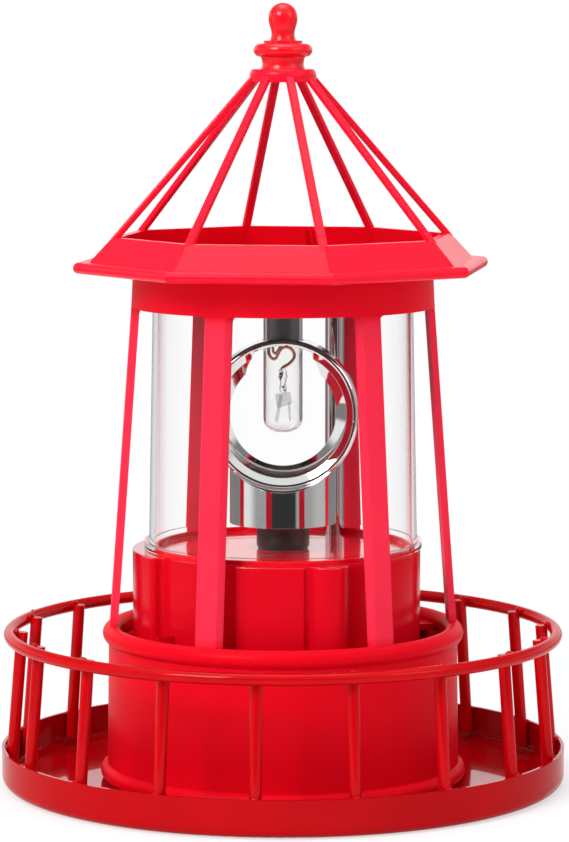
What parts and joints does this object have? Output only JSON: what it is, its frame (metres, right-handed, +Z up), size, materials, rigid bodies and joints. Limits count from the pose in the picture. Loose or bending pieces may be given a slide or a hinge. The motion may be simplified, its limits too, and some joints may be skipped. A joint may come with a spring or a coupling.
{
  "type": "solar lighthouse lantern",
  "caption": "Red lighthouse lantern on a railed gallery tray: clear tube, turning chrome reflector round a bulb, open roof cage over a solar panel.",
  "frame": {"origin": "Middle of the tray's underside, on the axis of the lantern.", "axes": "+Z points up through the finial; the front seen in the picture faces -Y; +X is to its right."},
  "size_m": [0.175, 0.175, 0.2409],
  "materials": {
    "tray_paint": "gloss",
    "house_red": "gloss",
    "base_red": "gloss",
    "clear_plastic": "clear",
    "bulb_glass": "clear",
    "black_plastic": "satin",
    "chrome": "mirror",
    "screw_steel": "satin",
    "seal_rubber": "matte",
    "panel_face": "gloss",
    "copper": "bright",
    "stem_glass": "grey",
    "conduit_steel": "bright",
    "wire_sleeve": "satin",
    "gear_white": "satin",
    "bearing_brass": "bright",
    "motor_steel": "satin",
    "cell_wrap": "gloss",
    "board_green": "satin"
  },
  "bodies": {
    "lantern": {"gallery_tray": "tray_paint", "gallery_screws": "screw_steel", "railing_ring": "tray_paint", "railing_posts": "tray_paint", "lantern_house": "house_red", "roof_cage": "house_red", "roof_screws": "screw_steel", "finial": "house_red"},
    "lamp_module": {"module_base": "base_red", "tube_seal": "seal_rubber", "clear_tube": "clear_plastic", "top_cap": "black_plastic", "solar_panel": "panel_face", "lamp_socket": "black_plastic", "bulb_glass": "bulb_glass", "lead_wires": "copper", "bulb_stem": "stem_glass", "filament": "screw_steel", "wire_conduit": "conduit_steel", "panel_wires": "wire_sleeve", "deck_bushing": "black_plastic", "idler_pin": "screw_steel", "drive_motor": "motor_steel", "gear_plate": "black_plastic", "plate_screws": "screw_steel", "bottom_cover": "black_plastic", "cover_screws": "screw_steel", "battery_door": "black_plastic", "door_screw": "screw_steel", "battery_cell": "cell_wrap", "battery_contacts": "screw_steel", "circuit_board": "board_green", "switch_body": "motor_steel"},
    "reflector_drive": {"reflector": "chrome", "reflector_hub": "black_plastic", "output_gear": "gear_white"},
    "idler": {"idler_gear": "gear_white"},
    "motor_rotor": {"motor_pinion": "bearing_brass", "motor_shaft": "screw_steel"},
    "switch": {"switch_knob": "black_plastic"}
  },
  "joints": [
    {"name": "module_twist", "type": "hinge", "parent": "lantern", "child": "lamp_module", "pos_m": [0, 0, 0.0446], "axis": [0, 0, 1], "range_deg": [-25, 0]},
    {"name": "reflector_spin", "type": "hinge", "parent": "lamp_module", "child": "reflector_drive", "pos_m": [0, 0, 0.08], "axis": [0, 0, 1], "continuous": true},
    {"name": "idler_spin", "type": "hinge", "parent": "lamp_module", "child": "idler", "pos_m": [-0.02002, -0.01531, 0.0679], "axis": [0, 0, 1], "continuous": true},
    {"name": "pinion_spin", "type": "hinge", "parent": "lamp_module", "child": "motor_rotor", "pos_m": [-0.00649, -0.02023, 0.0679], "axis": [0, 0, 1], "continuous": true},
    {"name": "switch_slide", "type": "slide", "parent": "lamp_module", "child": "switch", "axis": [1, 0, 0], "range_m": [0, 0.003]}
  ],
  "couplings": [
    {"joint": "idler_spin", "follows": "reflector_spin", "ratio": -1.3333},
    {"joint": "pinion_spin", "follows": "reflector_spin", "ratio": 4}
  ]
}
